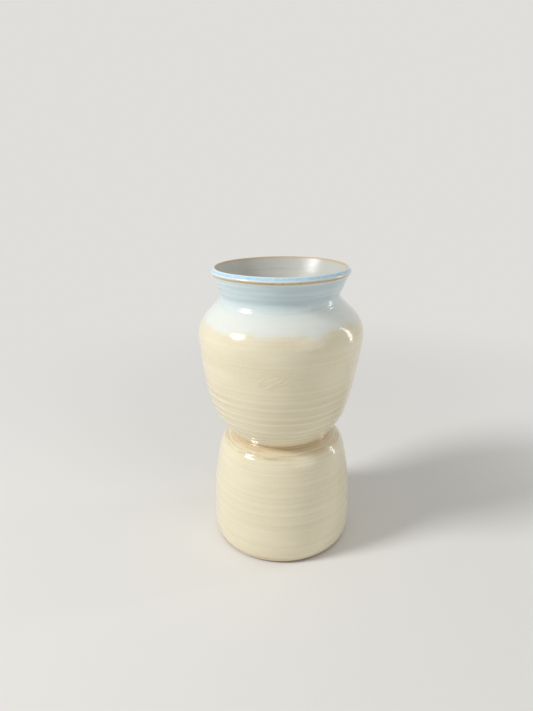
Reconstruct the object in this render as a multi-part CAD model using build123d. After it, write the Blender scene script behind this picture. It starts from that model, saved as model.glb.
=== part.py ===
from build123d import *
import os
from math import atan2, cos, degrees, radians, sin

# A stoneware vase of two thrown sections, joined with slip at a narrow waist and glazed in coats.
# Millimetres, standing on Z = 0, turned about the Z axis.

# Heights, each measured up from the ring before it
lower_height = 117.0  # standing face to the waist crease
belly_rise = 102.5  # crease to the widest ring of the upper section
shoulder_rise = 38.0  # widest ring to the throat
collar_rise = 18.4  # throat to the under edge of the lip
lip_height = 5.9  # under edge of the lip to its crown

# Diameters over the glaze
drum_diameter = 142.8  # widest ring of the lower section
waist_diameter = 96.4  # bottom of the crease
belly_diameter = 158.4  # widest ring of the upper section
throat_diameter = 113.2
collar_diameter = 126.8  # under edge of the lip

# Lip
lip_overhang = 1.8  # bead past the collar
lip_width = 5.2  # bead to the inner edge

# Foot and floor
foot_diameter = 129.0  # outer edge of the standing face
foot_flare = 2.4  # standing face out to the glaze line
glaze_line = 1.2  # bare clay left above the standing face
foot_width = 14.0  # standing ring
foot_recess = 2.5  # hollow trimmed inside the ring
recess_slope = 3.0  # run of its sloped side
floor_thickness = 8.0
floor_corner = 18.0  # run of the rounded corner inside

# Clay and glaze
wall = 6.0
coat = 0.7
crease_coat = 2.0  # glaze pooled in the crease

# Seam at the waist
seam_width = 5.2  # scored faces, across
slip_bed = 1.0
key_width = 2.6  # V key between the rims
key_depth = 1.5
coil_height = 8.0
coil_depth = 3.0  # coil past the rims, inwards

# Outline shares: across the step between the two radii named, and up the height named
drum_shares = ((0.94, 0.06), (1.0, 0.24), (0.68, 0.846), (0.39, 0.949))  # waist to drum, lower_height
drum_leans = (14, 0, -13.5, -48)
belly_shares = ((0.45, 0.18), (0.64, 0.325), (0.94, 0.79), (1.0, 1.0))  # waist to belly, belly_rise
belly_leans = (31.5, 17, 7, 0)
coat_line_share = (0.695, 0.474)  # throat to belly, shoulder_rise
neck_share = (0.16, 0.808)  # throat to belly, shoulder_rise
collar_share = (0.19, 0.217)  # throat to collar, collar_rise
bead_share = 0.43  # widest ring of the bead, up lip_height
crown_share = 0.66  # crown, in across lip_width
inner_edge_share = 0.3  # inner edge, down lip_height
dip_share = 0.45  # lap of the neck coat, inner edge to throat

# Leans of the outline, in degrees out from upright, going up
foot_lean = 50
crease_lean_below = -60
crease_lean_above = 43
coat_line_lean = -41.5
neck_lean = -42.5
collar_lean = 21.5
under_lip_lean = 20
crown_lean = -90
inner_edge_lean = -165

# Rings that follow from the sizes
drum_radius = drum_diameter / 2
waist_radius = waist_diameter / 2
belly_radius = belly_diameter / 2
throat_radius = throat_diameter / 2
collar_radius = collar_diameter / 2
foot_radius = foot_diameter / 2
foot_inner_radius = foot_radius - foot_width
belly_height = lower_height + belly_rise
throat_height = belly_height + shoulder_rise
lip_base = throat_height + collar_rise
crown_height = lip_base + lip_height
bead_radius = collar_radius + lip_overhang
seam_outer = waist_radius - crease_coat
seam_inner = seam_outer - seam_width
seam_low = lower_height - slip_bed / 2
seam_high = lower_height + slip_bed / 2
coil_low = lower_height - coil_height / 2
coil_high = lower_height + coil_height / 2
floor_top = foot_recess + floor_thickness


# A knot is a point of the outline and its lean: radius, height, degrees out from upright.
def between(share, inner, outer, base, rise, lean):
    across, up = share
    return (inner + across * (outer - inner), base + up * rise, lean)


def sunk(knot, depth):
    radius, height, lean = knot
    return (radius - depth * cos(radians(lean)), height + depth * sin(radians(lean)), lean)


def turned(knot):
    radius, height, lean = knot
    return (radius, height, lean + 180)


def at(radius, height):
    return Vector(radius, 0, height)


def lead(knot):
    return at(sin(radians(knot[2])), cos(radians(knot[2])))


# One smooth span from each knot to the next, so that every ring of knots is a line on the pot
def curve(knots):
    return [
        Spline(at(*start[:2]), at(*end[:2]), tangents=[lead(start), lead(end)])
        for start, end in zip(knots, knots[1:])
    ]


def run(*places):
    return Polyline(*[at(radius, height) for radius, height in places]).edges()


def spun(*outline):
    return revolve(make_face([edge for stretch in outline for edge in stretch]), Axis.Z)


# Outline over the glaze
glaze_foot = (foot_radius + foot_flare, glaze_line, foot_lean)
drum_knots = [
    between(share, waist_radius, drum_radius, 0, lower_height, lean)
    for share, lean in zip(drum_shares, drum_leans)
]
crease_below = (waist_radius, lower_height, crease_lean_below)
crease_above = (waist_radius, lower_height, crease_lean_above)
belly_knots = [
    between(share, waist_radius, belly_radius, lower_height, belly_rise, lean)
    for share, lean in zip(belly_shares, belly_leans)
]
coat_line = between(
    coat_line_share, throat_radius, belly_radius, belly_height, shoulder_rise, coat_line_lean
)
neck = between(neck_share, throat_radius, belly_radius, belly_height, shoulder_rise, neck_lean)
throat = (throat_radius, throat_height, 0)
collar = between(
    collar_share, throat_radius, collar_radius, throat_height, collar_rise, collar_lean
)
under_lip = (collar_radius, lip_base, under_lip_lean)
bead = (bead_radius, lip_base + bead_share * lip_height, 0)
crown = (bead_radius - crown_share * lip_width, crown_height, crown_lean)
inner_edge = (
    bead_radius - lip_width,
    crown_height - inner_edge_share * lip_height,
    inner_edge_lean,
)

# The neck coat laps inside, part of the way from the inner edge to the lined throat
lined_throat = sunk(throat, coat + wall + coat)
dip_drop = inner_edge[1] - lined_throat[1]
dip_run = inner_edge[0] - lined_throat[0]
dip_line = (
    inner_edge[0] - dip_share * dip_run,
    inner_edge[1] - dip_share * dip_drop,
    degrees(atan2(-dip_run, -dip_drop)),
)

# Clay faces under the coats: the same knots, one coat deeper
foot_clay = sunk(glaze_foot, coat)
rim_below = (seam_outer, seam_low, crease_lean_below)
rim_above = (seam_outer, seam_high, crease_lean_above)
drum_clay = [foot_clay, *[sunk(knot, coat) for knot in drum_knots], rim_below]
belly_clay = [rim_above, *[sunk(knot, coat) for knot in belly_knots], sunk(coat_line, coat)]
neck_knots = [coat_line, neck, throat, collar, under_lip, bead, crown, inner_edge, dip_line]
neck_clay = [sunk(knot, coat) for knot in neck_knots]


# Inside of the lower section, from the middle of the floor to the coil; depth lines it
def lower_inside(depth):
    floor = floor_top + depth
    corner, *shoulder = [sunk(knot, coat + wall + depth) for knot in drum_knots[1:]]
    floor_edge = (corner[0] - floor_corner, floor, 90)
    rim = (seam_inner - depth, coil_low, crease_lean_below)
    return [*run((0, floor), floor_edge[:2]), *curve([floor_edge, corner, *shoulder, rim])]


# Inside of the upper section, from the dip line down to the coil; depth lines it
def upper_inside(depth):
    inside_knots = [throat, neck, coat_line, *reversed(belly_knots)]
    rim = (seam_inner - depth, coil_high, crease_lean_above)
    return curve(
        [
            sunk(dip_line, coat - depth),
            *[turned(sunk(knot, coat + wall + depth)) for knot in inside_knots],
            turned(rim),
        ]
    )


def coil_inside(depth):
    face = seam_inner - depth
    return [ThreePointArc(at(face, coil_low), at(face - coil_depth, lower_height), at(face, coil_high))]


# Scored rim at the seam, from the crease in to the coil, with its V key
def rim_places(height):
    middle = seam_outer - seam_width / 2
    return (
        (seam_outer, height),
        (middle + key_width / 2, height),
        (middle, height - key_depth),
        (middle - key_width / 2, height),
        (seam_inner, height),
    )


# Lower section: recessed foot, floor, wall and keyed rim
lower_gourd = spun(
    run(
        (0, floor_top),
        (0, foot_recess),
        (foot_inner_radius - recess_slope, foot_recess),
        (foot_inner_radius, 0),
        (foot_radius, 0),
        foot_clay[:2],
    ),
    curve(drum_clay),
    run(*rim_places(seam_low), (seam_inner, coil_low)),
    lower_inside(0),
)

# Upper section: keyed foot, belly, shoulder, throat, collar and lip
upper_gourd = spun(
    curve(belly_clay),
    curve(neck_clay),
    upper_inside(0),
    run((seam_inner, coil_high), *reversed(rim_places(seam_high))),
)

# Slip between the two scored rims
seam_slip = spun(run(*rim_places(seam_low), *reversed(rim_places(seam_high)), (seam_outer, seam_low)))

# Coil worked over the seam inside
seam_coil = spun(run((seam_inner, coil_low), (seam_inner, coil_high)), coil_inside(0))

# Cream coat on the lower section, pooled in the crease
lower_glaze = spun(
    run(foot_clay[:2], glaze_foot[:2]),
    curve([glaze_foot, *drum_knots, crease_below]),
    run((waist_radius, lower_height), (seam_outer, lower_height), (seam_outer, seam_low)),
    curve(drum_clay),
)

# Cream coat on the upper section, up to the coat line
belly_glaze = spun(
    run((seam_outer, seam_high), (seam_outer, lower_height), (waist_radius, lower_height)),
    curve([crease_above, *belly_knots, coat_line]),
    run(coat_line[:2], sunk(coat_line, coat)[:2]),
    curve(belly_clay),
)

# Dipped coat on the neck, over the lip and a little way inside
neck_glaze = spun(
    run(sunk(coat_line, coat)[:2], coat_line[:2]),
    curve(neck_knots),
    run(dip_line[:2], sunk(dip_line, coat)[:2]),
    curve(neck_clay),
)

# Poured coat on the floor, the walls and the coil
liner_glaze = spun(
    run((0, floor_top), (0, floor_top + coat)),
    lower_inside(coat),
    coil_inside(coat),
    upper_inside(coat),
    run(dip_line[:2], sunk(dip_line, coat)[:2]),
    upper_inside(0),
    coil_inside(0),
    lower_inside(0),
)

pieces = {
    "lower_gourd": lower_gourd,
    "upper_gourd": upper_gourd,
    "seam_slip": seam_slip,
    "seam_coil": seam_coil,
    "lower_glaze": lower_glaze,
    "belly_glaze": belly_glaze,
    "neck_glaze": neck_glaze,
    "liner_glaze": liner_glaze,
}

os.makedirs("parts", exist_ok=True)
for name, piece in pieces.items():
    export_step(piece, f"parts/{name}.step")
    print(name, round(piece.volume), piece.is_valid)
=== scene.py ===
from math import cos, degrees, exp, radians, sin, tan

import bpy
from mathutils import Matrix, Vector


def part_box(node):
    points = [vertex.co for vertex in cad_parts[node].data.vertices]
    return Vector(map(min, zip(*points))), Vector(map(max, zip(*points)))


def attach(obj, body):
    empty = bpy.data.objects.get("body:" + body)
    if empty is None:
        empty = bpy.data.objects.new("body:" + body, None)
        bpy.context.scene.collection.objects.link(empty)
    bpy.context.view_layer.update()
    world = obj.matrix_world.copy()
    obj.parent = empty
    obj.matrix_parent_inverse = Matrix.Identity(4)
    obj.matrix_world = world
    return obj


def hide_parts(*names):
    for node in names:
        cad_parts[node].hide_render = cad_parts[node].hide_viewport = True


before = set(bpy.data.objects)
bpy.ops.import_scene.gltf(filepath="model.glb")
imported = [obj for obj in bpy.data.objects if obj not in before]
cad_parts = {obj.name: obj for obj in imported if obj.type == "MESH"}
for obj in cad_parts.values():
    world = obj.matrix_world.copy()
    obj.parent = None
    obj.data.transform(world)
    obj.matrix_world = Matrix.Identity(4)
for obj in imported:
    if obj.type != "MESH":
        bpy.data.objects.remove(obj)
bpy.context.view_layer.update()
print("frame loaded:", ", ".join(sorted(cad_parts)))

mm = 0.001

# Rings of the pot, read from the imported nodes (metres)
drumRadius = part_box("lower_glaze")[1].x
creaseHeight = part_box("lower_glaze")[1].z
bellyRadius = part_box("belly_glaze")[1].x
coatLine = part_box("belly_glaze")[1].z
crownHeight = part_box("neck_glaze")[1].z
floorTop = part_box("liner_glaze")[0].z
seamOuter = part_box("seam_slip")[1].x
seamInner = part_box("seam_coil")[1].x
coilLow, coilHigh = (corner.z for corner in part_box("seam_coil"))
keyLow, slipTop = (corner.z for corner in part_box("seam_slip"))
upperRise = crownHeight - creaseHeight

# Depths in from the outline over the glaze
coat = 0.7 * mm
wall = 6.0 * mm
hollow = coat + wall  # inner face of the clay
inset = hollow + coat  # inner face of the liner

turning = {
    "steps": 240,  # round the wheel
    "rowGap": 0.6 * mm,  # between rows on a glazed face
    "hiddenGap": 4.0 * mm,
    "rimGap": 1.3 * mm,
    "merge": 0.01 * mm,
    "crispEdge": radians(50),  # sharper edges stay crisp
}


# A knot is radius, height and lean: degrees out from upright, going along the outline
def lowerKnots(shares):
    return [(across * drumRadius, up * creaseHeight, lean) for across, up, lean in shares]


def upperKnots(shares):
    return [(across * bellyRadius, creaseHeight + up * upperRise, lean) for across, up, lean in shares]


# The same knots, deeper in the pot
def sink(knots, depth):
    return [
        (radius - depth * cos(radians(lean)), height + depth * sin(radians(lean)), lean)
        for radius, height, lean in knots
    ]


# The same knots, run the other way
def turnBack(knots):
    return [(radius, height, lean + 180) for radius, height, lean in reversed(knots)]


# Straight sides from place to place
def straight(*places):
    sides = []
    for (r0, z0), (r1, z1) in zip(places, places[1:]):
        lean = degrees(Vector((r1 - r0, z1 - z0)).angle_signed(Vector((0, 1))))
        sides.append([(r0, z0, lean), (r1, z1, lean)])
    return sides


def drawSpan(span, knots, gap):
    start, end = (Vector((radius, 0, height)) for radius, height, lean in knots)
    length = (end - start).length
    reach = length / 3  # even handles
    span.bezier_points.add(1)
    span.resolution_u = max(1, round(length / gap))
    for point, (radius, height, lean) in zip(span.bezier_points, knots):
        place = Vector((radius, 0, height))
        heading = Vector((sin(radians(lean)), 0, cos(radians(lean))))
        point.handle_left_type = point.handle_right_type = "FREE"
        point.co = place
        point.handle_left = place - heading * reach
        point.handle_right = place + heading * reach


# Draw the section as Bezier spans, one for each pair of knots, and make it a mesh
def drawSection(name, stretches):
    bpy.ops.object.select_all(action="DESELECT")
    bpy.ops.curve.primitive_bezier_curve_add()
    section = bpy.context.object
    section.name = name
    splines = section.data.splines
    splines.remove(splines[0])
    for knots, gap in stretches:
        for pair in zip(knots, knots[1:]):
            drawSpan(splines.new("BEZIER"), pair, gap)
    bpy.ops.object.convert(target="MESH")
    piece = bpy.context.object
    piece.data.name = name
    return piece


# How far the throwing rings stand out, and how the glaze shows them
throwing = {
    "push": 2 * mm,  # at full weight
    "cloud": 45 * mm,  # rings swell and fade round the pot at this size
    "poolReach": 2.2,  # how far glaze gathers beside a ring, in widths of the ring
    "fullMark": 0.3,  # rise of a ring that marks the glaze in full
}

# Out of round by hand: the same sway for every piece, none at the foot
handSway = {
    "reach": 0.9 * mm,
    "cloud": 60 * mm,
    "still": 6 * mm,  # height up to which nothing sways
    "free": 40 * mm,  # rise from there to full sway
}

ringClouds = bpy.data.textures.new("ringClouds", "CLOUDS")
ringClouds.noise_scale = throwing["cloud"]
ringClouds.noise_depth = 1

handClouds = bpy.data.textures.new("handClouds", "CLOUDS")
handClouds.cloud_type = "COLOR"
handClouds.noise_scale = handSway["cloud"]
handClouds.noise_depth = 0


def clamp(value):
    return max(0, min(1, value))


# Rings and give are painted on the section as weights, so that the wheel carries them round
def markSection(piece, rings, ringsFrom):
    swells = piece.vertex_groups.new(name="rings")
    give = piece.vertex_groups.new(name="give")
    crests, pools = [], []
    for vertex in piece.data.vertices:
        swell = spread = 0
        if vertex.co.x > ringsFrom:
            for height, rise, width in rings:
                away = (vertex.co.z / mm - height) / width
                swell += rise * exp(-(away ** 2))
                spread += rise * exp(-((away / throwing["poolReach"]) ** 2))
        slack = (vertex.co.z - handSway["still"]) / handSway["free"]
        swells.add([vertex.index], clamp(swell), "REPLACE")
        give.add([vertex.index], clamp(slack), "REPLACE")
        # crest carries thin glaze and a painted highlight, pool carries pooled glaze and painted shade
        crests.append(clamp(swell / throwing["fullMark"]))
        pools.append(clamp((spread - swell) / throwing["fullMark"]))
    for name, values in (("crest", crests), ("pool", pools)):
        mark = piece.data.attributes.new(name=name, type="FLOAT", domain="POINT")
        mark.data.foreach_set("value", values)


def applyModifier(piece, modifier):
    bpy.ops.object.select_all(action="DESELECT")
    piece.select_set(True)
    bpy.context.view_layer.objects.active = piece
    bpy.ops.object.modifier_apply(modifier=modifier.name)


# Works on the active piece
def joinDoubles():
    bpy.ops.object.mode_set(mode="EDIT")
    bpy.ops.mesh.select_all(action="SELECT")
    bpy.ops.mesh.remove_doubles(threshold=turning["merge"])
    bpy.ops.mesh.normals_make_consistent(inside=False)
    bpy.ops.object.mode_set(mode="OBJECT")


def turnOnWheel(piece):
    joinDoubles()
    wheel = piece.modifiers.new("wheel", "SCREW")
    wheel.steps = wheel.render_steps = turning["steps"]
    wheel.use_merge_vertices = True
    wheel.merge_threshold = turning["merge"]
    applyModifier(piece, wheel)
    joinDoubles()
    bpy.ops.object.shade_smooth_by_angle(angle=turning["crispEdge"])


def raiseRings(piece):
    push = piece.modifiers.new("rings", "DISPLACE")
    push.texture = ringClouds
    push.vertex_group = "rings"
    push.mid_level = 0
    push.strength = throwing["push"]
    applyModifier(piece, push)


# The places as thrown, before the pot is bent by hand: the glazes follow these
def keepThrownPlaces(piece):
    places = [0.0] * (3 * len(piece.data.vertices))
    piece.data.vertices.foreach_get("co", places)
    thrown = piece.data.attributes.new(name="thrown", type="FLOAT_VECTOR", domain="POINT")
    thrown.data.foreach_set("vector", places)


# The pot leans a little: sideways shift, roll to the right and pitch to the back, level by level
handBend = {
    "cage": 0.2,  # width, metres
    "shift": [0, 0.3, 0.55, 0.85, 1.0, 0.85, 0.0, -0.3, 0.25, 1.0, 1.15, 1.3, 2.0],  # millimetres
    "roll": [0, 0, 0, 0, 0, 0, 0, 0, 0, 0, 0.2, 0.5, 0.5],  # degrees
    "pitch": [0, 0, 0, 0, 0, 0, 0, 0, 0, 0, 0.1, 0.35, 0.85],
}


def makeBendLattice():
    bpy.ops.object.select_all(action="DESELECT")
    bpy.ops.object.add(type="LATTICE", location=(0, 0, crownHeight / 2))
    cage = bpy.context.object
    cage.name = "handBend"
    cage.scale = (handBend["cage"], handBend["cage"], crownHeight)
    data = cage.data
    data.points_u = data.points_v = 2
    data.points_w = len(handBend["shift"])
    data.interpolation_type_u = data.interpolation_type_v = "KEY_LINEAR"
    data.interpolation_type_w = "KEY_CARDINAL"
    corners = data.points_u * data.points_v
    for index, point in enumerate(data.points):
        level = index // corners
        across = point.co_deform.x * cage.scale.x
        back = point.co_deform.y * cage.scale.y
        roll = radians(handBend["roll"][level])
        pitch = radians(handBend["pitch"][level])
        rise = -across * tan(roll) - back * tan(pitch)
        point.co_deform.x += handBend["shift"][level] * mm / cage.scale.x
        point.co_deform.z += rise / cage.scale.z
    return cage


bendLattice = makeBendLattice()


def bendByHand(piece):
    sway = piece.modifiers.new("sway", "DISPLACE")
    sway.texture = handClouds
    sway.vertex_group = "give"
    sway.direction = "RGB_TO_XYZ"
    sway.strength = handSway["reach"]
    applyModifier(piece, sway)
    bend = piece.modifiers.new("bend", "LATTICE")
    bend.object = bendLattice
    applyModifier(piece, bend)
    piece.vertex_groups.clear()


# Rings show on the section further out than the radius ringsFrom
def throwPiece(name, stretches, rings=(), ringsFrom=0):
    piece = drawSection(name, stretches)
    markSection(piece, rings, ringsFrom)
    turnOnWheel(piece)
    raiseRings(piece)
    keepThrownPlaces(piece)
    bendByHand(piece)
    return piece


def finishPiece(piece, node, material):
    piece.data.materials.clear()
    piece.data.materials.append(material)
    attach(piece, "root")
    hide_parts(node)
    print("made", piece.name, len(piece.data.polygons), "faces")


# sRGB parts, 0 to 255, as the linear colour that a socket takes
def colour(red, green, blue):
    return (*[((part / 255 + 0.055) / 1.055) ** 2.4 for part in (red, green, blue)], 1)


def addNode(tree, kind, inputs, **settings):
    node = tree.nodes.new("ShaderNode" + kind)
    for name, value in settings.items():
        setattr(node, name, value)
    for name, value in inputs.items():
        if isinstance(value, bpy.types.NodeSocket):
            tree.links.new(value, node.inputs[name])
        else:
            node.inputs[name].default_value = value
    return node


def calc(tree, operation, first, second):
    return addNode(tree, "Math", {0: first, 1: second}, operation=operation).outputs[0]


def times(tree, first, second):
    return calc(tree, "MULTIPLY", first, second)


def vectorCalc(tree, operation, first, second):
    return addNode(tree, "VectorMath", {0: first, 1: second}, operation=operation).outputs[0]


def vectorLength(tree, vector):
    return addNode(tree, "VectorMath", {0: vector}, operation="LENGTH").outputs["Value"]


# How far a point is from a spot, with a weight for each axis
def farFrom(tree, point, spot, weights):
    away = vectorCalc(tree, "SUBTRACT", point, spot)
    return vectorLength(tree, vectorCalc(tree, "MULTIPLY", away, weights))


def ramp(tree, value, low, high, start=0.0, end=1.0):
    spread = {"Value": value, "From Min": low, "From Max": high, "To Min": start, "To Max": end}
    return addNode(tree, "MapRange", spread, interpolation_type="SMOOTHSTEP").outputs["Result"]


def mixColour(tree, factor, first, second):
    return addNode(tree, "Mix", {0: factor, 6: first, 7: second}, data_type="RGBA").outputs[2]


# Tones laid over a colour one after another, each by its own mark
def layTones(tree, body, layers):
    for mark, tone in layers:
        body = mixColour(tree, mark, body, tone)
    return body


noiseMiddle = 0.5  # noise swings about this


def cloud(tree, point, scale, detail):
    spread = addNode(tree, "Mapping", {"Vector": point, "Scale": scale}).outputs[0]
    return addNode(tree, "TexNoise", {"Vector": spread, "Scale": 1, "Detail": detail}).outputs[0]


# A pattern is the noise's scale (x, y, z) and detail, the range of it that shows, and what that becomes
def pattern(tree, point, look):
    scale, detail, (low, high), (start, end) = look
    return ramp(tree, cloud(tree, point, scale, detail), low, high, start, end)


# Bump on top of the relief before it
def relief(tree, height, strength, depth, under=None):
    inputs = {"Height": height, "Strength": strength, "Distance": depth}
    if under:
        inputs["Normal"] = under
    return addNode(tree, "Bump", inputs).outputs[0]


# The look is the noise's scale and detail, then strength and depth
def cloudRelief(tree, point, look, under=None):
    scale, detail, strength, depth = look
    return relief(tree, cloud(tree, point, scale, detail), strength, depth, under)


def newMaterial(name):
    material = bpy.data.materials.new(name)
    material.use_nodes = True
    tree = material.node_tree
    return material, tree, tree.nodes["Principled BSDF"]


# A mark that the section carries: crest or pool
def sectionMark(tree, name):
    return addNode(tree, "Attribute", {}, attribute_name=name).outputs["Fac"]


# Point, height and radius as thrown
def thrownPlace(tree):
    point = addNode(tree, "Attribute", {}, attribute_name="thrown").outputs["Vector"]
    height = addNode(tree, "SeparateXYZ", {0: point}).outputs["Z"]
    radius = vectorLength(tree, vectorCalc(tree, "MULTIPLY", point, (1, 1, 0)))
    return {"point": point, "height": height, "radius": radius}


ringCore = 0.25  # share of a ring mark's reach that is full


# 1 on a ring of the pot, fading out at the reach given
def ringMark(tree, place, ringRadius, ringHeight, reach):
    across = calc(tree, "SUBTRACT", place["radius"], ringRadius)
    up = calc(tree, "SUBTRACT", place["height"], ringHeight)
    distance = vectorLength(tree, addNode(tree, "CombineXYZ", {0: across, 1: up}).outputs[0])
    return ramp(tree, distance, ringCore * reach, reach, 1.0, 0.0)


glaze = {
    "creamPale": colour(234, 226, 201),
    "creamDeep": colour(229, 219, 190),
    "creamThin": colour(217, 200, 160),
    # darker cream beside the rings: pooled glaze and painted shade
    "creamPoolShade": colour(212, 200, 168),
    "ochre": colour(196, 163, 112),
    "footTan": colour(206, 180, 140),
    "footBrown": colour(138, 102, 66),
    "shoulder": colour(230, 234, 228),
    "collar": colour(193, 211, 217),
    "lip": colour(163, 213, 246),
    "lipPale": colour(228, 239, 242),
    "breakGold": colour(206, 174, 110),
    "breakBrown": colour(160, 120, 68),
    "rimTan": colour(208, 180, 132),
    "inside": colour(202, 203, 196),
}

glazePatterns = {
    "mottle": ((18, 18, 60), 5, (0.3, 0.72), (0, 1)),
    "streak": ((14, 14, 330), 4, (0.4, 0.72), (0, 1)),
    "fineStreak": ((8, 8, 720), 3, (0.42, 0.7), (0, 0.25)),
    "speck": ((340, 340, 340), 3, (0.4, 0.66), (0, 0.35)),
    # pooled glaze and painted shade beside the rings, thin glaze and a painted highlight on their crests
    "poolShading": ((22, 22, 22), 2, (0.3, 0.62), (0.45, 0.9)),  # beside the rings
    "crestLighting": ((24, 24, 24), 3, (0.36, 0.64), (0.1, 0.6)),  # on the rings
    "lipDashes": ((480, 480, 1100), 4, (0.36, 0.64), (0.4, 1)),
    "lipBreak": ((380, 380, 152), 4, (0.32, 0.66), (1, 0.75)),
    "creaseBreak": ((34, 34, 300), 3, (0.34, 0.68), (0, 1)),
    "gloss": ((60, 60, 60), 3, (0.3, 0.7), (0.13, 0.22)),  # roughness
}
streakStrength = 0.4

# Thin, warm cream along the foot; on the edge over the crease, thin glaze with painted warm bounce light
thinCream = {
    "footWave": 3 * mm,
    "footTan": (2 * mm, 12 * mm, 0.6),  # height from, height to, strength
    "footBrown": (1.2 * mm, 3.0 * mm, 0.85),
    "breakAndBounceRing": (0.632 * bellyRadius, creaseHeight + 1.6 * mm, 6.5 * mm),  # radius, height, reach
    "breakAndBounceStrength": 0.62,
}


# A fade is where it starts, where it is gone, and its strength before that
def fadeOut(tree, value, fade):
    start, gone, strength = fade
    return ramp(tree, value, start, gone, strength, 0.0)


def creamBody(tree, place, streak):
    point = place["point"]
    height = place["height"]
    mottle = pattern(tree, point, glazePatterns["mottle"])
    # Beside the rings pooled glaze and painted shade, on their crests thin glaze and a painted highlight
    pooledAndShaded = times(tree, sectionMark(tree, "pool"), pattern(tree, point, glazePatterns["poolShading"]))
    thinAndLitCrest = times(tree, sectionMark(tree, "crest"), pattern(tree, point, glazePatterns["crestLighting"]))
    wavyHeight = calc(tree, "ADD", height, times(tree, mottle, thinCream["footWave"]))
    # ochre over the crease: thin glaze breaking, and painted warm light bounced from the lower bulb into
    # the upper bulb's shade
    breakAndBounceOverCrease = ringMark(tree, place, *thinCream["breakAndBounceRing"])
    body = mixColour(tree, mottle, glaze["creamDeep"], glaze["creamPale"])
    return layTones(tree, body, [
        (times(tree, streak, streakStrength), glaze["creamDeep"]),
        (pattern(tree, point, glazePatterns["fineStreak"]), glaze["creamThin"]),
        (pattern(tree, point, glazePatterns["speck"]), glaze["creamPale"]),
        (pooledAndShaded, glaze["creamPoolShade"]),
        (thinAndLitCrest, glaze["creamPale"]),
        (fadeOut(tree, wavyHeight, thinCream["footTan"]), glaze["footTan"]),
        (fadeOut(tree, height, thinCream["footBrown"]), glaze["footBrown"]),
        (times(tree, breakAndBounceOverCrease, thinCream["breakAndBounceStrength"]), glaze["ochre"]),
    ])


# Second coat, dipped over the shoulder and the neck, with a soft wavy border
dippedCoat = {
    "drop": 0.2 * mm,  # border below the coat line
    "soft": 3.4 * mm,
    "waves": [((15, 15, 15), 1, 10 * mm), ((120, 120, 36), 3, 5 * mm)],  # noise scale, detail, swing
    # each run is its turn from the front (degrees), reach and sag
    "runs": [
        (-46, 20 * mm, 2.5 * mm),
        (-13, 13 * mm, 2.6 * mm),
        (22, 12 * mm, 3.4 * mm),
        (71, 18 * mm, 3.0 * mm),
        (118, 11 * mm, 5.0 * mm),
        (163, 16 * mm, 4.0 * mm),
        (-146, 12 * mm, 5.0 * mm),
        (-97, 17 * mm, 3.5 * mm),
    ],
    "runFade": (0.3, 1.3),  # full within, gone past: shares of the run's reach
    "runWeights": (1, 1, 0.3),  # runs are taller than they are wide
    "bluer": (6 * mm, 24 * mm),  # from the shoulder's tone to the collar's, above the coat line
}


def dipShoulder(tree, place, streak, body):
    point = place["point"]
    height = place["height"]
    line = height
    for scale, detail, swing in dippedCoat["waves"]:
        wave = calc(tree, "SUBTRACT", cloud(tree, point, scale, detail), noiseMiddle)
        line = calc(tree, "ADD", line, times(tree, wave, swing))
    full, gone = dippedCoat["runFade"]
    for turn, reach, sag in dippedCoat["runs"]:
        spot = (bellyRadius * sin(radians(turn)), -bellyRadius * cos(radians(turn)), coatLine)
        distance = farFrom(tree, point, spot, dippedCoat["runWeights"])
        line = calc(tree, "ADD", line, ramp(tree, distance, full * reach, gone * reach, sag, 0.0))
    edge = coatLine - dippedCoat["drop"]
    dipped = ramp(tree, line, edge - dippedCoat["soft"], edge + dippedCoat["soft"])
    blueFrom, blueTo = dippedCoat["bluer"]
    blue = ramp(tree, height, coatLine + blueFrom, coatLine + blueTo)
    veil = mixColour(tree, blue, glaze["shoulder"], glaze["collar"])
    veil = mixColour(tree, times(tree, streak, streakStrength), veil, glaze["shoulder"])
    return mixColour(tree, dipped, body, veil)


# Blue band round the lip, greyer glaze inside it
lipGlaze = {
    "start": (-5 * mm, -3 * mm),  # from the crown
    "band": (0.811 * bellyRadius, crownHeight - 0.7 * mm, 2.4 * mm),  # radius, height, reach
    "insideFrom": (15 * mm, 25 * mm),  # above the coat line
    "cone": 0.46,  # the lip's inner edge follows a cone: radius per height
    "coneShares": (0.787, 0.775),  # of the belly's radius at the crown, out to in
}


# 1 on the inside of the collar
def insideCollar(tree, place):
    cone = lipGlaze["cone"]
    slope = calc(tree, "SUBTRACT", place["radius"], times(tree, place["height"], cone))
    outer, inner = (share * bellyRadius - cone * crownHeight for share in lipGlaze["coneShares"])
    low, high = lipGlaze["insideFrom"]
    above = ramp(tree, place["height"], coatLine + low, coatLine + high)
    return times(tree, ramp(tree, slope, outer, inner), above)


def glazeLip(tree, place, within, body):
    band = ringMark(tree, place, *lipGlaze["band"])
    dashes = pattern(tree, place["point"], glazePatterns["lipDashes"])
    lip = mixColour(tree, times(tree, band, dashes), glaze["lipPale"], glaze["lip"])
    low, high = lipGlaze["start"]
    onLip = ramp(tree, place["height"], crownHeight + low, crownHeight + high)
    return layTones(tree, body, [(onLip, lip), (within, glaze["inside"])])


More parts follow.
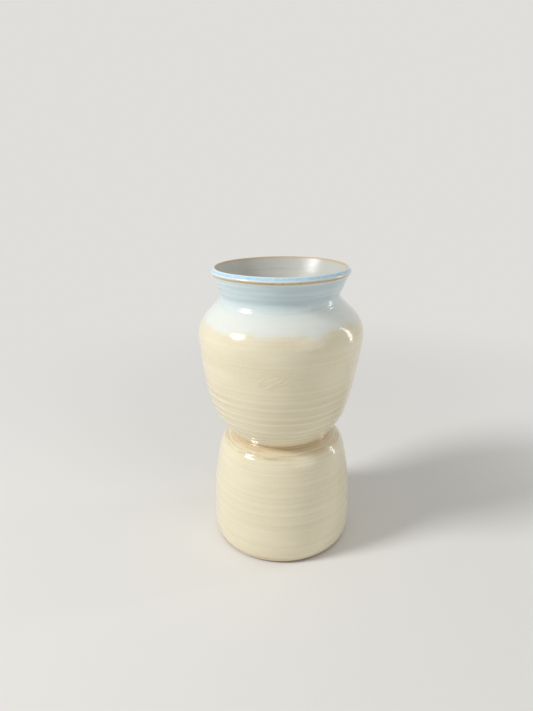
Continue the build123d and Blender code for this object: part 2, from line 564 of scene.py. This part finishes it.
# Rings where the glaze breaks or pools, with a painted highlight along the crown and painted shade under
# a belly ring: share of the belly's radius, height, reach, tone, strength
breaks = [
    (0.822, crownHeight - 4.2 * mm, 2.2 * mm, "breakGold", 0.95),
    (0.823, crownHeight - 4.4 * mm, 1.1 * mm, "breakBrown", 0.35),
    # pale line along the top of the crown: thin glaze edge and a painted highlight
    (0.792, crownHeight + 0.8 * mm, 1.1 * mm, "lipPale", 0.9),
    (0.771, crownHeight + 0.1 * mm, 1.8 * mm, "rimTan", 0.9),
    (0.809, crownHeight - 6.0 * mm, 0.9 * mm, "lipPale", 0.6),
    (0.732, creaseHeight - 6.4 * mm, 1.5 * mm, "ochre", 0.75),
    (0.705, creaseHeight - 4.8 * mm, 1.2 * mm, "ochre", 0.7),
    (0.668, creaseHeight - 2.5 * mm, 1.6 * mm, "ochre", 0.55),
    # darker line under the ring at 135.6 mm: painted shade
    (0.705, creaseHeight + 18.2 * mm, 1.4 * mm, "creamThin", 0.35),
]


# Lays the glaze breaks, the painted highlight on the crown and the painted shade under a belly ring
def paintBreaksAndLightLines(tree, place, body):
    onLip = pattern(tree, place["point"], glazePatterns["lipBreak"])
    atCrease = pattern(tree, place["point"], glazePatterns["creaseBreak"])
    for across, up, reach, tone, strength in breaks:
        mark = ringMark(tree, place, across * bellyRadius, up, reach)
        mark = times(tree, mark, onLip if up > coatLine else atCrease)
        body = mixColour(tree, times(tree, mark, strength), body, glaze[tone])
    return body


glazeFinish = {
    "insideDull": 0.15,  # more roughness inside the collar
    "clearCoat": 0.35,  # outside only
    "clearRoughness": 0.09,
    "streakRelief": (0.35, 0.12 * mm),  # strength, depth
    "sway": ((95, 95, 95), 2, 0.45, 0.35 * mm),  # noise scale, detail, strength, depth
    "peel": ((420, 420, 420), 2, 0.25, 0.08 * mm),
}

# Slanted finger marks on the front of the belly
fingerMarks = {
    "place": (-8 * mm, -0.97 * bellyRadius, 195 * mm),
    "weights": (1, 1, 2.2),  # a patch wider than it is tall
    "reach": 24 * mm,
    "core": 0.3,  # share of the reach at full strength
    "strength": 0.9,
    "slant": radians(30),
    "noise": ((65, 65, 300), 1),  # scale, detail
    "depth": 1.2 * mm,
}


def fingerRelief(tree, point, under):
    distance = farFrom(tree, point, fingerMarks["place"], fingerMarks["weights"])
    reach = fingerMarks["reach"]
    patch = ramp(tree, distance, fingerMarks["core"] * reach, reach, fingerMarks["strength"], 0.0)
    tilt = {"Vector": point, "Angle": fingerMarks["slant"]}
    tilted = addNode(tree, "VectorRotate", tilt, rotation_type="Y_AXIS").outputs[0]
    return relief(tree, cloud(tree, tilted, *fingerMarks["noise"]), patch, fingerMarks["depth"], under)


def finishGlaze(tree, shader, point, streak, within):
    gloss = pattern(tree, point, glazePatterns["gloss"])
    gloss = calc(tree, "ADD", gloss, times(tree, within, glazeFinish["insideDull"]))
    clear = ramp(tree, within, 0, 1, glazeFinish["clearCoat"], 0.0)
    tree.links.new(gloss, shader.inputs["Roughness"])
    tree.links.new(clear, shader.inputs["Coat Weight"])
    shader.inputs["Coat Roughness"].default_value = glazeFinish["clearRoughness"]
    normal = relief(tree, streak, *glazeFinish["streakRelief"])
    normal = fingerRelief(tree, point, normal)
    normal = cloudRelief(tree, point, glazeFinish["sway"], normal)
    normal = cloudRelief(tree, point, glazeFinish["peel"], normal)
    tree.links.new(normal, shader.inputs["Normal"])


# Cream below, ice blue above the coat line, brown where the glaze breaks over edges
def glazeMaterial(name):
    material, tree, shader = newMaterial(name)
    place = thrownPlace(tree)
    streak = pattern(tree, place["point"], glazePatterns["streak"])
    within = insideCollar(tree, place)
    body = creamBody(tree, place, streak)
    body = dipShoulder(tree, place, streak, body)
    body = glazeLip(tree, place, within, body)
    body = paintBreaksAndLightLines(tree, place, body)
    tree.links.new(body, shader.inputs["Base Color"])
    finishGlaze(tree, shader, place["point"], streak, within)
    return material


liner = {
    "pale": colour(208, 206, 197),
    "grey": colour(194, 193, 184),
    "mottle": ((30, 30, 30), 4, (0.35, 0.68), (0, 1)),
    "streak": ((14, 14, 300), 4, (0.4, 0.72), (0, 0.4)),
    "gloss": ((70, 70, 70), 3, (0.3, 0.7), (0.26, 0.4)),
    "sway": ((110, 110, 110), 2, 0.5, 0.3 * mm),
    "dip": (-30 * mm, -12 * mm),  # fades into the tone inside the collar, from the crown
}


def linerMaterial(name):
    material, tree, shader = newMaterial(name)
    place = thrownPlace(tree)
    point = place["point"]
    low, high = liner["dip"]
    body = mixColour(tree, pattern(tree, point, liner["mottle"]), liner["grey"], liner["pale"])
    body = layTones(tree, body, [
        (pattern(tree, point, liner["streak"]), liner["grey"]),
        (ramp(tree, place["height"], crownHeight + low, crownHeight + high), glaze["inside"]),
    ])
    tree.links.new(body, shader.inputs["Base Color"])
    tree.links.new(pattern(tree, point, liner["gloss"]), shader.inputs["Roughness"])
    tree.links.new(cloudRelief(tree, point, liner["sway"]), shader.inputs["Normal"])
    return material


clay = {
    "buff": colour(196, 168, 130),
    "toast": colour(170, 136, 98),
    "rubbed": colour(214, 192, 158),
    "flash": colour(150, 96, 56),
    "iron": colour(92, 64, 44),
    "blush": ((75, 75, 75), 6, (0.2, 0.8), (0, 1)),
    "turnedLines": ((700, 700, 700), 3, (0.35, 0.65), (0, 0.45)),
    "rubbedFoot": (0.2 * mm, 1.4 * mm, 0.7),  # height from, height to, strength
    "flashRing": (65 * mm, 0.7 * mm, 3.5 * mm),  # bare edge under the glaze line: radius, height, reach
    "flashStrength": 0.8,
    "grogScale": 420,
    "grogSize": (0.08, 0.18, 0.7),  # full within, gone past, strength
    "grain": ((1400, 1400, 1400), 4, 0.6, 0.2 * mm),
    "roughness": 0.86,
}


# Bare clay: rubbed pale where it stands, flashed brown beside the glaze
def clayMaterial(name, first, second):
    material, tree, shader = newMaterial(name)
    place = thrownPlace(tree)
    point = place["point"]
    turned = addNode(tree, "CombineXYZ", {0: place["radius"]}).outputs[0]
    flash = times(tree, ringMark(tree, place, *clay["flashRing"]), clay["flashStrength"])
    grog = addNode(tree, "TexVoronoi", {"Vector": point, "Scale": clay["grogScale"]}).outputs["Distance"]
    body = mixColour(tree, pattern(tree, point, clay["blush"]), first, second)
    body = layTones(tree, body, [
        (pattern(tree, turned, clay["turnedLines"]), clay["toast"]),
        (fadeOut(tree, place["height"], clay["rubbedFoot"]), clay["rubbed"]),
        (flash, clay["flash"]),
        (fadeOut(tree, grog, clay["grogSize"]), clay["iron"]),
    ])
    tree.links.new(body, shader.inputs["Base Color"])
    shader.inputs["Roughness"].default_value = clay["roughness"]
    tree.links.new(cloudRelief(tree, point, clay["grain"]), shader.inputs["Normal"])
    return material


creamGlaze = glazeMaterial("creamGlaze")
blueGlaze = glazeMaterial("blueGlaze")
linerGlaze = linerMaterial("linerGlaze")
stoneware = clayMaterial("stoneware", clay["buff"], clay["toast"])
joiningSlip = clayMaterial("joiningSlip", clay["toast"], clay["buff"])
print("materials ready")


# A coat: its outer face, and its hidden face one coat deeper
def coatSection(outline, gap):
    back = turnBack(sink(outline, coat))
    ends = straight(outline[-1][:2], back[0][:2]) + straight(back[-1][:2], outline[0][:2])
    return [(outline, gap), (back, turning["hiddenGap"]), *[(end, coat) for end in ends]]


# Lower bulb: share of the drum's radius, share of the crease's height, lean
lowerForm = {
    "outline": [
        (0.934, 0.0103, 50),  # glaze line
        (0.977, 0.06, 14),
        (1.0, 0.24, 0),  # widest ring
        (0.896, 0.846, -13.5),
        (0.8018, 0.949, -48),  # shoulder
        (0.703, 0.9893, -57),
        (0.679, 1.0, -5),  # crease
    ],
    "ringsFrom": 0.75,  # share of the drum's radius
    # height, rise and width of each throwing ring (millimetres)
    "rings": [
        (8.3, 0.2, 1.7),
        (17.5, 0.06, 2.0),
        (27.0, 0.05, 2.4),
        (39.0, 0.07, 2.0),
        (48.5, 0.09, 2.2),
        (57.0, 0.05, 1.8),
        (66.0, 0.13, 1.9),
        (77.0, 0.08, 2.2),
        (87.0, 0.07, 1.8),
        (96.3, 0.08, 1.6),
        (104.0, 0.08, 1.2),
        (107.6, 0.1, 0.9),
        (110.6, 0.3, 0.8),
        (112.4, 0.14, 0.6),
        (113.9, 0.12, 0.6),
        (115.2, 0.1, 0.6),
    ],
}
lowerOutline = lowerKnots(lowerForm["outline"])
lowerWall = lowerOutline[:5]  # glaze line to shoulder
drumWall = lowerOutline[2:5]  # widest ring to shoulder
lowerCoat = throwPiece(
    "lowerCoat",
    coatSection(lowerOutline, turning["rowGap"]),
    lowerForm["rings"],
    lowerForm["ringsFrom"] * drumRadius,
)
finishPiece(lowerCoat, "lower_glaze", creamGlaze)

# Upper bulb: share of the belly's radius, share of the rise from crease to crown, lean
bellyForm = {
    "outline": [
        (0.6124, 0.0, -5),  # crease
        (0.630, 0.0106, 40),
        (0.7815, 0.112, 31.5),
        (0.8555, 0.2021, 17),
        (0.9745, 0.4913, 7),
        (1.0, 0.622, 0),  # widest ring
        (0.913, 0.73125, -41.5),  # coat line
    ],
    "ringsFrom": 0.6,  # share of the belly's radius
    "rings": [
        (121.2, 0.09, 0.8),
        (126.5, 0.16, 1.1),
        (131.3, 0.29, 1.1),
        (135.6, 0.2, 0.9),
        (142.0, 0.27, 1.5),
        (150.5, 0.29, 1.5),
        (157.5, 0.27, 1.5),
        (167.0, 0.36, 1.8),
        (175.0, 0.16, 1.8),
        (179.5, 0.06, 1.2),
        (184.0, 0.09, 1.7),
        (190.0, 0.05, 1.4),
        (196.5, 0.07, 1.5),
        (203.0, 0.05, 1.5),
        (210.0, 0.05, 1.8),
        (225.0, 0.04, 1.8),
    ],
}
bellyOutline = upperKnots(bellyForm["outline"])
bellyWall = bellyOutline[2:]  # clear of the crease
bellyCoat = throwPiece(
    "bellyCoat",
    coatSection(bellyOutline, turning["rowGap"]),
    bellyForm["rings"],
    bellyForm["ringsFrom"] * bellyRadius,
)
finishPiece(bellyCoat, "belly_glaze", creamGlaze)

# Shoulder, throat, collar and lip, measured as the belly is
neckForm = {
    "outline": [
        (0.913, 0.73125, -41.5),  # coat line
        (0.7535, 0.8083, -42.5),
        (0.7146, 0.8526, 0),  # throat
        (0.7311, 0.8768, 21.5),
        (0.7942, 0.9527, 21),
        (0.8254, 0.9783, 27),  # under edge of the lip
        (0.8242, 0.9868, -36),
        (0.7980, 1.0024, -38),
        (0.7866, 1.0056, -90),  # crown
        (0.7753, 1.0034, -125),
        (0.7626, 0.9930, -155),
        (0.6962, 0.9277, -154.4),  # lap inside the collar
    ],
    "ringsFrom": 0.7,
    "rings": [
        (242.0, 0.08, 1.8),
        (247.5, 0.06, 1.6),
        (251.6, 0.16, 0.8),
        (263.0, 0.08, 1.3),
        (267.0, 0.1, 1.3),
        (271.5, 0.1, 1.3),
    ],
    "rowGap": 0.45 * mm,
}
neckOutline = upperKnots(neckForm["outline"])
throatKnots = neckOutline[1:3]
lapKnots = turnBack(neckOutline[-1:])
neckCoat = throwPiece(
    "neckCoat",
    coatSection(neckOutline, neckForm["rowGap"]),
    neckForm["rings"],
    neckForm["ringsFrom"] * bellyRadius,
)
finishPiece(neckCoat, "neck_glaze", blueGlaze)

# Seam at the waist: two scored rims with a V key, a bed of slip and a coil worked over it inside
seamForm = {
    "slipBed": 1.0 * mm,
    "slipGap": 0.65 * mm,  # between rows
    "keyShare": 0.25,  # half the key, share of the rim's width
    "leanBelow": -60,
    "leanAbove": 43,
    "coilReach": 3.0 * mm,  # past the rims, inwards
    "coilLean": 60,
    "coilGap": 0.5 * mm,
}


# Over the coil from below to above
def coilKnots(edge, middle, topLean):
    return [
        (edge, coilLow, seamForm["leanBelow"]),
        (middle, creaseHeight, 0),
        (edge, coilHigh, topLean),
    ]


# Inside: floor, corner, walls one wall in from the outline, and the coil over the seam
linerForm = {
    "floorReach": 0.644,  # flat of the floor, share of the drum's radius
    "coilShares": (0.509, 0.471),  # edge and middle over the coil, of the belly's radius
    "ringRise": 0.22,
    "ringRuns": [(20, 8.5, 10, 2.6), (136, 8.0, 12, 2.4)],  # first height, spacing, count, width
    "ringsFrom": 0.5,  # share of the drum's radius
    "rowGap": 1.2 * mm,
}
linerRings = [
    (first + spacing * turn, linerForm["ringRise"], width)
    for first, spacing, count, width in linerForm["ringRuns"]
    for turn in range(count)
]


# The inside of the pot at a depth in from the outline, from the middle of the floor up
def lowerInside(depth):
    floor = floorTop + depth - hollow
    floorEdge = linerForm["floorReach"] * drumRadius
    return [(0, floor, 90), (floorEdge, floor, 90), *sink(drumWall, depth)]


# On from the coil to the lap of the neck coat
def upperInside(depth):
    return sink(bellyWall + throatKnots, depth) + sink(lapKnots, depth - inset)


def insideKnots(depth):
    edge, middle = (share * bellyRadius + inset - depth for share in linerForm["coilShares"])
    coil = coilKnots(edge, middle, seamForm["leanAbove"])
    return lowerInside(depth) + coil + upperInside(depth)


linerFace = turnBack(insideKnots(inset))
linerBack = insideKnots(hollow)
linerCoat = throwPiece(
    "linerCoat",
    [
        (linerFace, linerForm["rowGap"]),
        (linerBack, turning["hiddenGap"]),
        *[(end, coat) for end in straight(linerBack[-1][:2], linerFace[0][:2])],
    ],
    linerRings,
    linerForm["ringsFrom"] * drumRadius,
)
finishPiece(linerCoat, "liner_glaze", linerGlaze)


# Scored rim, from the crease in to the coil, with its V key
def rimPlaces(height):
    middle = (seamOuter + seamInner) / 2
    key = (seamOuter - seamInner) * seamForm["keyShare"]
    drop = slipTop - keyLow - seamForm["slipBed"]
    return [
        (seamOuter, height),
        (middle + key, height),
        (middle, height - drop),
        (middle - key, height),
        (seamInner, height),
    ]


slipLow = slipTop - seamForm["slipBed"]
slipSides = straight(*rimPlaces(slipLow), *reversed(rimPlaces(slipTop)), rimPlaces(slipLow)[0])
seamSlip = throwPiece("seamSlip", [(side, seamForm["slipGap"]) for side in slipSides])
finishPiece(seamSlip, "seam_slip", joiningSlip)

coilFace = coilKnots(seamInner, seamInner - seamForm["coilReach"], seamForm["coilLean"])
coilSides = [coilFace, *straight(coilFace[-1][:2], coilFace[0][:2])]
seamCoil = throwPiece("seamCoil", [(side, seamForm["coilGap"]) for side in coilSides])
finishPiece(seamCoil, "seam_coil", stoneware)

# Trimmed foot, from the middle out to the glaze line: radius, height (millimetres), lean
footForm = {
    "rounds": 14,  # left by the trimming tool across the recess
    "roundDepth": 0.3,
    "recess": [(46.2, 2.5, 90), (47.9, 2.15, 125), (49.9, 0.55, 128)],
    "ring": [(49.9, 0.55, 128), (51.1, 0.0, 90), (57.5, 0.0, 90), (63.6, 0.0, 90), (65.0, 0.4, 58)],
    "rowGap": 0.6 * mm,
}
rounds = footForm["rounds"]
recessReach, recessHeight, recessLean = footForm["recess"][0]
trimmed = [
    (turn / rounds * recessReach, recessHeight + turn % 2 * footForm["roundDepth"], recessLean)
    for turn in range(rounds)
]
recessKnots, ringKnots = (
    [(across * mm, up * mm, lean) for across, up, lean in knots]
    for knots in (trimmed + footForm["recess"], footForm["ring"])
)

# Lower section: foot, floor, wall and keyed rim
lowerFace = [*sink(lowerWall, coat), (seamOuter, slipLow, seamForm["leanBelow"])]
lowerRim = straight(*rimPlaces(slipLow), (seamInner, coilLow))
lowerHollow = [*lowerInside(hollow), (seamInner, coilLow, seamForm["leanBelow"])]
lowerClay = throwPiece(
    "lowerClay",
    [
        (recessKnots, footForm["rowGap"]),
        (ringKnots + lowerFace[:1], footForm["rowGap"]),
        (lowerFace, turning["hiddenGap"]),
        *[(side, turning["rimGap"]) for side in lowerRim],
        (turnBack(lowerHollow), turning["hiddenGap"]),
    ],
)
finishPiece(lowerClay, "lower_gourd", stoneware)

# Upper section: keyed foot, belly, shoulder, throat, collar and lip
upperForm = {"rowGap": 1.5 * mm}  # close enough to follow the lip
upperFace = [(seamOuter, slipTop, seamForm["leanAbove"]), *sink(bellyWall + neckOutline[1:], coat)]
upperRim = straight((seamInner, coilHigh), *reversed(rimPlaces(slipTop)))
upperHollow = [(seamInner, coilHigh, seamForm["leanAbove"]), *upperInside(hollow)]
upperClay = throwPiece(
    "upperClay",
    [
        (upperFace, upperForm["rowGap"]),
        (turnBack(upperHollow), turning["hiddenGap"]),
        *[(side, turning["rimGap"]) for side in upperRim],
    ],
)
finishPiece(upperClay, "upper_gourd", stoneware)

bpy.data.objects.remove(bendLattice)

# Plain pale floor that fades into the background
stageForm = {
    "floorRadius": 9.0,
    "floorSides": 128,
    "floorRoughness": 0.7,
    "fadeFrom": 0.18,
    "fadeTo": 0.9,
    "floor": colour(237, 236, 233),
    "sky": colour(223, 222, 219),
    "skyLight": 0.5,
}


# 1 for what the camera sees, directly, in a reflection or through glass
def seenRay(tree):
    rays = addNode(tree, "LightPath", {}).outputs
    mirrored = calc(tree, "MAXIMUM", rays["Is Camera Ray"], rays["Is Glossy Ray"])
    return calc(tree, "MAXIMUM", mirrored, rays["Is Transmission Ray"])


def makeFloor():
    bpy.ops.object.select_all(action="DESELECT")
    bpy.ops.mesh.primitive_circle_add(
        vertices=stageForm["floorSides"],
        radius=stageForm["floorRadius"],
        fill_type="NGON",
    )
    studioFloor = bpy.context.object
    studioFloor.name = "studioFloor"
    paint, tree, shader = newMaterial("floorPaint")
    shader.inputs["Base Color"].default_value = stageForm["floor"]
    shader.inputs["Roughness"].default_value = stageForm["floorRoughness"]
    away = vectorLength(tree, addNode(tree, "TexCoord", {}).outputs["Object"])
    fade = ramp(tree, away, stageForm["fadeFrom"], stageForm["fadeTo"])
    far = addNode(tree, "Emission", {"Color": stageForm["sky"]})
    share = times(tree, fade, seenRay(tree))
    join = addNode(tree, "MixShader", {0: share, 1: shader.outputs[0], 2: far.outputs[0]})
    tree.links.new(join.outputs[0], tree.nodes["Material Output"].inputs["Surface"])
    studioFloor.data.materials.append(paint)


def makeSky():
    world = bpy.data.worlds.new("studioSky")
    bpy.context.scene.world = world
    world.use_nodes = True
    tree = world.node_tree
    sky = tree.nodes["Background"]
    sky.inputs["Color"].default_value = stageForm["sky"]
    levels = {"Value": seenRay(tree), "To Min": stageForm["skyLight"], "To Max": 1.0}
    strength = addNode(tree, "MapRange", levels)
    tree.links.new(strength.outputs[0], sky.inputs["Strength"])


# Soft key from the left front, weak fill, a tall strip to the right for the streak on the glaze
lamps = {
    "keyLamp": {"place": (-2.0, -0.65, 1.7), "size": (0.7, 0.7), "power": 46},
    "fillLamp": {"place": (1.6, -1.9, 1.1), "size": (1.8, 1.8), "power": 8},
    "stripLamp": {"place": (0.75, 0.16, 0.34), "size": (0.07, 0.6), "power": 0.7},
}


def hangLamps():
    aim = Vector((0, 0, crownHeight / 2))
    for name, lamp in lamps.items():
        data = bpy.data.lights.new(name, "AREA")
        data.shape = "ELLIPSE"
        data.size, data.size_y = lamp["size"]
        data.energy = lamp["power"]
        holder = bpy.data.objects.new(name, data)
        bpy.context.collection.objects.link(holder)
        holder.location = lamp["place"]
        holder.rotation_euler = (Vector(lamp["place"]) - aim).to_track_quat("Z", "Y").to_euler()


photoView = {
    "place": (-0.0131, -0.4978, 0.3685),
    "pitch": 70.69,  # degrees up from straight down
    "roll": -1.16,
    "lens": 27.03,  # millimetres
    "sensor": 36,
}


def placeCamera():
    data = bpy.data.cameras.new("photoCamera")
    data.lens = photoView["lens"]
    data.sensor_width = photoView["sensor"]
    photoCamera = bpy.data.objects.new("photoCamera", data)
    bpy.context.collection.objects.link(photoCamera)
    photoCamera.location = photoView["place"]
    pitch = Matrix.Rotation(radians(photoView["pitch"]), 3, "X")
    roll = Matrix.Rotation(radians(photoView["roll"]), 3, "Z")
    photoCamera.rotation_euler = (pitch @ roll).to_euler()
    bpy.context.scene.camera = photoCamera


makeFloor()
makeSky()
hangLamps()
placeCamera()
bpy.context.scene.view_settings.view_transform = "Standard"
print("stage, lamps and camera ready")
